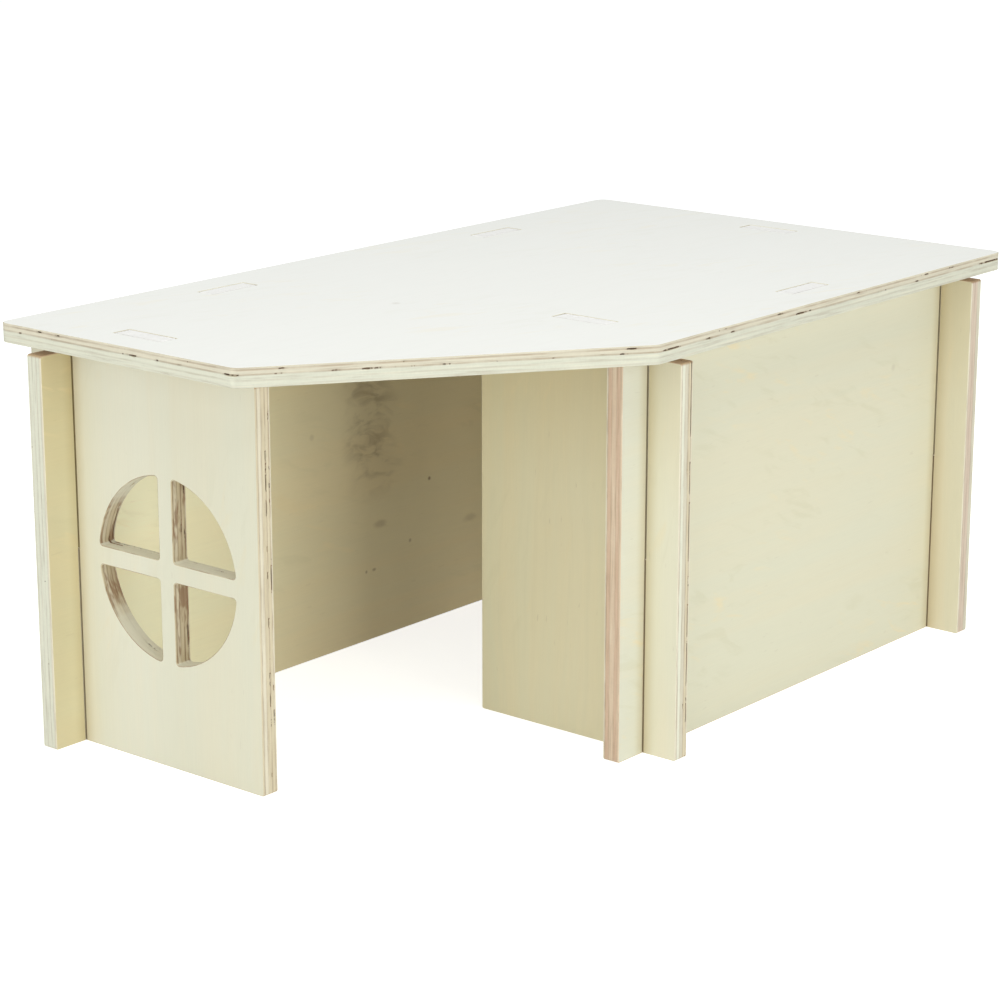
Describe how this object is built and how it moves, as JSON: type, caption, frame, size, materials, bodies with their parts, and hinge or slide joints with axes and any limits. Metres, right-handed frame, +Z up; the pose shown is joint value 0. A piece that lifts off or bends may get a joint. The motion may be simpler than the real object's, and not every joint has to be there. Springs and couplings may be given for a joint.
{
  "type": "rabbit hutch",
  "caption": "Corner house for a rabbit made of slot-together plywood panels, with a diagonal entrance, a cross window and a lift-off roof.",
  "frame": {"origin": "centre of the footprint on the floor, under the middle of the overall box", "axes": "+X along the back wall towards the end wall, +Y from the entrance side to the back wall, +Z up"},
  "size_m": [0.602, 0.35, 0.268],
  "materials": {
    "roof_plywood": "bare plywood, sanded",
    "window_wall_plywood": "bare plywood, sanded",
    "entrance_wall_plywood": "bare plywood, sanded",
    "end_wall_plywood": "bare plywood, sanded",
    "back_wall_plywood": "bare plywood, sanded",
    "front_wall_plywood": "bare plywood, sanded"
  },
  "bodies": {
    "short_walls": {"window_wall": "window_wall_plywood", "entrance_wall": "entrance_wall_plywood", "end_wall": "end_wall_plywood"},
    "back": {"back_wall": "back_wall_plywood"},
    "front": {"front_wall": "front_wall_plywood"},
    "top": {"roof": "roof_plywood"}
  },
  "joints": [
    {"name": "back_wall_lift", "type": "slide", "parent": "short_walls", "child": "back", "axis": [0, 0, 1], "range_m": [0, 0.26]},
    {"name": "front_wall_lift", "type": "slide", "parent": "short_walls", "child": "front", "axis": [0, 0, 1], "range_m": [0, 0.26]},
    {"name": "roof_lift", "type": "slide", "parent": "back", "child": "top", "axis": [0, 0, 1], "range_m": [0, 0.1]}
  ],
  "couplings": [
    {"joint": "front_wall_lift", "follows": "back_wall_lift", "ratio": 1}
  ]
}
